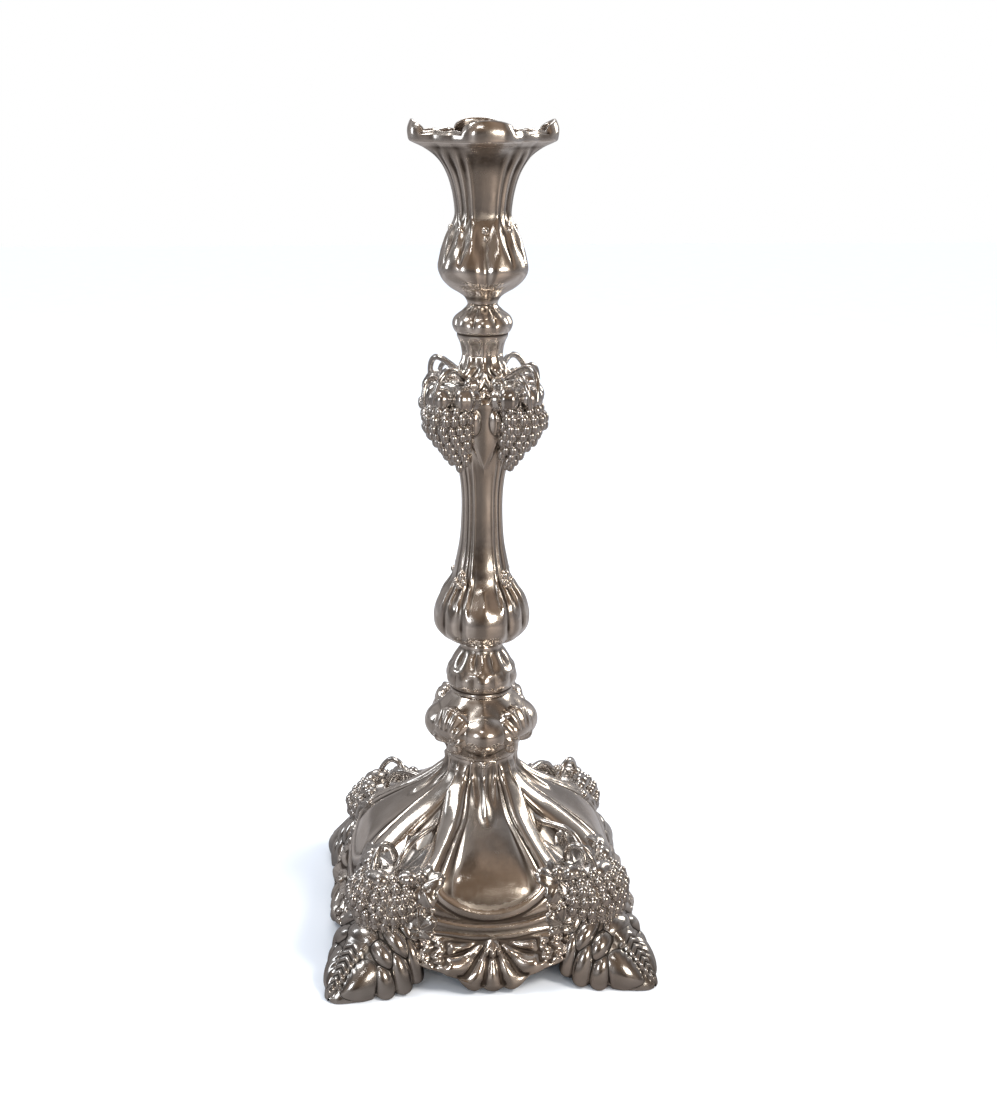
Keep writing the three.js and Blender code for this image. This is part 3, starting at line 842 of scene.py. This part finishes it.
def foot_skin(s, t):
    """The outer side of a foot, at shares s along it and t across it, without its relief."""
    spine = points_along(FOOT_SPINE, s[:, 0])
    edge = points_along(FOOT_EDGE, s[:, 0])
    beside = np.abs(t)
    hem = np.max([dome(s - place, 0.098) for place in FOOT_HEM_LOBES], axis=0)
    gap = (1 - hem) * smoothstep(0.60, 0.52, s)
    fall = np.cos(beside * np.pi / 2) ** 0.85
    reach = edge[:, :1] + (spine[:, :1] - edge[:, :1]) * fall
    side = np.sign(t) * edge[:, 1:2] * np.sin(beside * np.pi / 2) * (1 - 0.07 * gap * beside**3)
    height = edge[:, 2:] + (spine[:, 2:] - edge[:, 2:]) * fall
    height = height + 3.0 * gap * beside**6
    return np.stack([reach, side, height], -1)


def foot():
    """A splayed acanthus leaf on the +X side: rounded drops hang beside its feathered spine."""
    s = np.linspace(0, 1, 150)[:, None]
    t = np.linspace(-1, 1, 141)[None, :]
    skin = foot_skin(s, t)
    normal = unit(np.cross(np.gradient(skin, axis=0), np.gradient(skin, axis=1)))
    outward = np.sign((normal * np.array([0.6, 0, 0.8])).sum(2).mean())
    fade = smoothstep(0, 0.05, s) * smoothstep(1, 0.94, s)
    skin = skin + normal * outward * (foot_relief(s, t) * fade)[..., None]
    skin[..., 2] = np.maximum(skin[..., 2], 0)
    under = skin[:, ::-1].copy()  # slightly smaller, and 2.2 mm lower where there is room
    under[..., 0] = FOOT_ROOT + (under[..., 0] - FOOT_ROOT) * 0.93
    under[..., 1] *= 0.86
    under[..., 2] = np.maximum(under[..., 2] - 2.2, 0.0)
    loop = np.concatenate([skin, under], 1)
    first, last = end_caps(loop)
    last[..., 2] = 0.4
    return [grid_patch(np.concatenate([first, loop, last])), lobe((73.6, 0, 28.4), (4.6, 5.6, 4.2))]


# ---- Inner parts ----

def candle_cup():
    low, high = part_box("candle_cup")
    rim, floor, top = high.x / MM, low.z / MM, high.z / MM
    outline = [
        (0, floor), (8.4, floor), (9.6, floor + 0.5), (9.9, floor + 1.6), (9.9, top - 4),
        (10.3, top - 2.6), (11.6, top - 1.2), (rim, top - 0.6), (rim, top - 0.2), (rim - 0.5, top),
        (11.0, top - 0.7), (9.6, top - 2.2), (9.2, top - 3.6), (9.2, floor + 2), (8.8, floor + 1.1),
        (7.8, floor + 0.75), (0, floor + 0.7),
    ]
    line = smooth_line(outline, 0.4)
    line[:, 0] = np.clip(line[:, 0], 0, rim)
    return [grid_patch(placed(*lathe(line, 96)))]


# ---- Materials ----

class Nodes:
    """A short way to write a node tree."""

    def __init__(self, tree):
        self.tree = tree
        tree.nodes.clear()

    def add(self, kind, inputs=None, **settings):
        node = self.tree.nodes.new(kind)
        for key, value in settings.items():
            setattr(node, key, value)
        for key, value in (inputs or {}).items():
            if isinstance(value, bpy.types.NodeSocket):
                self.tree.links.new(value, node.inputs[key])
            else:
                node.inputs[key].default_value = value
        return node

    def noise(self, position, scale, detail):
        made = self.add("ShaderNodeTexNoise", {"Vector": position, "Scale": scale, "Detail": detail,
                                               "Roughness": 0.55})
        return made.outputs["Fac"]

    def math(self, operation, a, b, clamp=False):
        return self.add("ShaderNodeMath", {0: a, 1: b}, operation=operation, use_clamp=clamp).outputs[0]

    def ramp(self, value, low, high, out_low=0.0, out_high=1.0):
        made = self.add("ShaderNodeMapRange", {"Value": value, "From Min": low, "From Max": high,
                                               "To Min": out_low, "To Max": out_high})
        return made.outputs["Result"]

    def mix(self, share, a, b):
        made = self.add("ShaderNodeMix", {0: share}, data_type="RGBA")
        for socket, colour in ((made.inputs[6], a), (made.inputs[7], b)):
            if isinstance(colour, bpy.types.NodeSocket):
                self.tree.links.new(colour, socket)
            else:
                socket.default_value = (*colour, 1)
        return made.outputs[2]


def new_material(name):
    material = bpy.data.materials.new(name)
    material.use_nodes = True
    nodes = Nodes(material.node_tree)
    return material, nodes, nodes.add("ShaderNodeTexCoord").outputs["Object"]


def metal(name, bright, worn, tarnish_and_shade, gloss, dull, dents=1.0):
    """Old plated metal: rubbed bright and painted light, tarnish and painted shade in recesses, cloudy
    between.

    gloss and dull are the roughness of clean and of tarnished metal. Noise scales are per metre.
    """
    material, nodes, position = new_material(name)
    recess = nodes.add("ShaderNodeAttribute", attribute_name="recess").outputs["Fac"]
    clouds = nodes.noise(position, 55, 4)
    wobble = nodes.noise(position, 75, 1)
    specks = nodes.noise(position, 420, 3)
    grain = nodes.noise(position, 1700, 2)
    streaks = nodes.add("ShaderNodeVectorMath", {0: position, 1: (900, 900, 90)}, operation="MULTIPLY")
    scratches = nodes.noise(streaks.outputs[0], 1, 2)
    cloudy = nodes.ramp(clouds, 0.38, 0.68)
    spotted = nodes.math("ADD", recess, nodes.ramp(specks, 0.3, 0.7, -0.05, 0.05))
    # a high recess darkens: tarnish and painted shade; a low recess brightens: rubbed wear and painted
    # light
    deep = nodes.ramp(spotted, 0.04, 0.72)
    rubbed_and_lit = nodes.ramp(spotted, -0.1, -0.6)
    polished_and_lit = tuple(min(channel * 1.18, 1) for channel in bright)
    colour = nodes.mix(cloudy, bright, worn)
    colour = nodes.mix(deep, colour, tarnish_and_shade)
    colour = nodes.mix(nodes.math("MULTIPLY", rubbed_and_lit, 0.7), colour, polished_and_lit)
    roughness = nodes.math("ADD", nodes.ramp(cloudy, 0, 1, gloss, gloss + 0.09),
                           nodes.ramp(deep, 0, 1, 0.0, dull - gloss))
    roughness = nodes.math("ADD", roughness, nodes.ramp(specks, 0.35, 0.75, -0.03, 0.05), clamp=True)
    height = wobble
    for fine, share in ((specks, 0.04), (scratches, 0.03), (grain, 0.012)):
        height = nodes.math("ADD", height, nodes.math("MULTIPLY", fine, share))
    bump = nodes.add("ShaderNodeBump", {"Height": height, "Strength": 0.6 * dents, "Distance": 0.0006})
    shader = nodes.add("ShaderNodeBsdfPrincipled", {"Base Color": colour, "Roughness": roughness,
                                                    "Metallic": 1.0, "Normal": bump.outputs["Normal"]})
    nodes.add("ShaderNodeOutputMaterial", {"Surface": shader.outputs[0]})
    return material


ROOM_BANDS = (
    # azimuth from the front towards +X in degrees, and the colour the metal mirrors there
    (-128, (0.31, 0.295, 0.29)), (-98, (0.19, 0.18, 0.175)), (-72, (0.13, 0.115, 0.11)),
    (-50, (0.42, 0.385, 0.36)), (-30, (0.34, 0.31, 0.29)), (-16, (0.062, 0.049, 0.041)),
    (3, (0.052, 0.040, 0.033)), (14, (0.42, 0.325, 0.255)), (38, (0.33, 0.27, 0.235)),
    (56, (0.13, 0.11, 0.10)), (82, (0.24, 0.22, 0.21)), (120, (0.38, 0.375, 0.385)),
)
ROOM_BEHIND = (0.42, 0.40, 0.40)
ROOM_SHADE = (0.06, 0.05, 0.044)
WARM_WALL = (0.195, 0.13, 0.084)


def room_colour(nodes, position):
    """What the metal mirrors in each direction round the candlestick: a brown room with dark bands."""
    parts = nodes.add("ShaderNodeSeparateXYZ", {0: position})
    ahead = nodes.math("MULTIPLY", parts.outputs["Y"], -1)
    azimuth = nodes.math("ARCTAN2", parts.outputs["X"], ahead)
    share = nodes.math("ADD", nodes.math("MULTIPLY", azimuth, 0.5 / math.pi), 0.5)
    ramp = nodes.add("ShaderNodeValToRGB", {"Fac": share})
    stops = ramp.color_ramp.elements
    for degrees, colour in ROOM_BANDS:
        stops.new(0.5 + degrees / 360).color = (*colour, 1)
    stops[0].color = stops[-1].color = (*ROOM_BEHIND, 1)
    patchy = nodes.ramp(nodes.noise(position, 2.6, 2), 0.38, 0.62, 0.0, 0.6)
    return nodes.mix(patchy, ramp.outputs["Color"], ROOM_SHADE)


def floor_material():
    """White paper. Mirrored in the metal it is the darker table of an ordinary room."""
    material, nodes, position = new_material("floor_paper")
    paper = nodes.mix(nodes.noise(position, 30, 3), (0.90, 0.91, 0.93), (0.95, 0.955, 0.97))
    mirrored = nodes.add("ShaderNodeLightPath").outputs["Is Glossy Ray"]
    table = nodes.mix(0.3, room_colour(nodes, position), (0.22, 0.185, 0.16))
    table = nodes.mix(0.1, table, (0.0, 0.0, 0.0))
    tint = nodes.mix(mirrored, paper, table)
    shader = nodes.add("ShaderNodeBsdfPrincipled", {"Base Color": tint, "Roughness": 0.75,
                                                    "Specular IOR Level": 0.2})
    nodes.add("ShaderNodeOutputMaterial", {"Surface": shader.outputs[0]})
    return material


# ---- Stage ----

def make_camera():
    """The camera stands in front and a little to the left, looking down at the stem."""
    distance, height = 0.6172, 0.3738
    yaw, pitch, roll = math.radians(4.6), math.radians(17.57), math.radians(-0.2)
    data = bpy.data.cameras.new("camera")
    data.sensor_width = 36
    data.lens = 48.312
    data.shift_x = 0.0138
    data.clip_start = 0.01
    camera = add_object("camera", data)
    camera.location = (-distance * math.sin(yaw), -distance * math.cos(yaw), height)
    camera.rotation_euler = (math.pi / 2 - pitch, roll, -yaw)
    bpy.context.scene.camera = camera


def make_floor():
    """A wide floor just below the feet, so that their flat soles don't flicker in it."""
    bpy.ops.mesh.primitive_grid_add(x_subdivisions=2, y_subdivisions=2, size=6, location=(0, 0, -0.0002))
    floor = bpy.context.object
    floor.name = "floor"
    floor.data.materials.append(floor_material())


MIDDLE = Vector((0, 0, 0.17))


def softbox(name, azimuth, elevation, distance, size, radiance, colour):
    """A rectangular light that faces the stem. Azimuth is from the front towards +X, in degrees."""
    turn, climb = math.radians(azimuth), math.radians(elevation)
    data = bpy.data.lights.new(name, "AREA")
    data.shape = "RECTANGLE"
    data.size, data.size_y = size
    data.energy = radiance * math.pi * size[0] * size[1]
    data.color = colour
    light = add_object(name, data)
    away = Vector((math.sin(turn) * math.cos(climb), -math.cos(turn) * math.cos(climb), math.sin(climb)))
    light.location = MIDDLE + away * distance
    light.rotation_euler = away.to_track_quat("Z", "Y").to_euler()


def make_lights():
    warm, neutral, cool = (1.0, 0.93, 0.82), (1.0, 0.98, 0.95), (0.90, 0.95, 1.0)
    softbox("front_window", -16, 42, 1.0, (0.12, 0.08), 8, neutral)
    softbox("upper_left_window", -82, 57, 1.0, (0.28, 0.40), 8, neutral)
    softbox("left_window", -36, 12, 1.0, (0.12, 0.24), 9, cool)
    softbox("right_window", 23, 13, 1.0, (0.28, 0.20), 11, warm)
    softbox("far_right_window", 112, 24, 1.0, (0.22, 0.45), 8, warm)
    softbox("far_left_window", -104, 18, 1.0, (0.16, 0.40), 3.5, cool)
    softbox("back_window", 178, 40, 1.1, (0.34, 0.24), 7, neutral)
    data = bpy.data.lights.new("sun", "SUN")
    data.energy = 1.9
    data.angle = math.radians(16)
    data.color = (1.0, 0.97, 0.92)
    sun = add_object("sun", data)
    sun.rotation_euler = Vector((0.75, -0.45, 1.0)).to_track_quat("Z", "Y").to_euler()
    sun.visible_glossy = False


def make_world():
    """White to the camera, pale to the floor, and to the metal a brown room with darker bands."""
    world = bpy.data.worlds.new("room")
    bpy.context.scene.world = world
    world.use_nodes = True
    nodes = Nodes(world.node_tree)
    direction = nodes.add("ShaderNodeTexCoord").outputs["Generated"]
    seen = nodes.add("ShaderNodeLightPath")
    parts = nodes.add("ShaderNodeSeparateXYZ", {0: direction})
    in_front = nodes.ramp(parts.outputs["Y"], -0.1, -0.7)
    overhead = nodes.ramp(parts.outputs["Z"], 0.05, 0.35, 0.0, 0.65)
    room = nodes.mix(nodes.math("MULTIPLY", in_front, overhead), room_colour(nodes, direction), WARM_WALL)
    sky = nodes.mix(seen.outputs["Is Diffuse Ray"], room, (0.66, 0.74, 0.86))
    sky = nodes.mix(seen.outputs["Is Camera Ray"], sky, (1.0, 1.0, 1.0))
    background = nodes.add("ShaderNodeBackground", {"Color": sky, "Strength": 1.0})
    nodes.add("ShaderNodeOutputWorld", {"Surface": background.outputs[0]})


# ---- Assembly ----

def on_corner(corner, build):
    """The patches of something built on the +X side, turned to one corner."""
    return [turned(patch, math.pi / 4 + corner * math.pi / 2) for patch in build()]


def on_every_corner(build):
    return [patch for corner in CORNERS for patch in on_corner(corner, build)]


def add_on_corners(name, build, material):
    for corner in CORNERS:
        node = f"{name}_{corner + 1}"
        make_piece(f"{node}_detail", on_corner(corner, build), material, "silver_castings", "stand", node)


def add_section(node, outline, columns, shape, material, on_corners=None):
    patches = [section(smooth_line(outline, 0.5), columns, shape)]
    if on_corners:
        patches += on_every_corner(on_corners)
    make_piece(f"{node}_detail", patches, material, "silver_plate", "stand", node)


def make_plated_pieces():
    plate = metal("silver_plate", bright=(0.84, 0.79, 0.74), worn=(0.70, 0.635, 0.575),
                  tarnish_and_shade=(0.14, 0.115, 0.098), gloss=0.14, dull=0.44)
    make_piece("nozzle_detail", nozzle(), plate, "silver_plate", "nozzle", "nozzle")
    make_piece("candle_cup_detail", candle_cup(), plate, "silver_plate", "candle_cup", "candle_cup")
    add_section("upper_knop", UPPER_KNOP_OUTLINE, 256, upper_knop_shape, plate)
    add_section("stem", STEM_OUTLINE, 288, stem_shape, plate, stem_buds)
    add_section("lower_knop", LOWER_KNOP_OUTLINE, 288, lower_knop_shape, plate)
    add_section("collar", COLLAR_OUTLINE, 360, collar_shape, plate, collar_shell)
    make_piece("base_shell_detail", base_shell(), plate, "silver_plate", "stand", "base_shell")


def make_castings():
    cast = metal("silver_castings", bright=(0.635, 0.61, 0.59), worn=(0.475, 0.452, 0.43),
                 tarnish_and_shade=(0.085, 0.077, 0.071), gloss=0.16, dull=0.5)
    for name, build in (("stem_bunch", stem_bunch), ("stem_tendril", stem_tendrils),
                        ("base_bunch", base_bunch), ("base_tendril", base_tendrils), ("foot", foot)):
        add_on_corners(name, build, cast)


def colour_inner_steel():
    """The rod and its fittings are shown as their CAD nodes, in steel."""
    steel = metal("steel", bright=(0.42, 0.41, 0.40), worn=(0.32, 0.30, 0.28), tarnish_and_shade=(0.14, 0.10, 0.07),
                  gloss=0.35, dull=0.6, dents=0.5)
    for node in ("nozzle_nut", "tie_rod", "bridge_plate", "washer", "tie_nut"):
        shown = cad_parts[node]
        shown.data.materials.clear()
        shown.data.materials.append(steel)


make_camera()
make_world()
make_floor()
make_lights()
bpy.context.scene.view_settings.view_transform = "Standard"
make_plated_pieces()
make_castings()
colour_inner_steel()
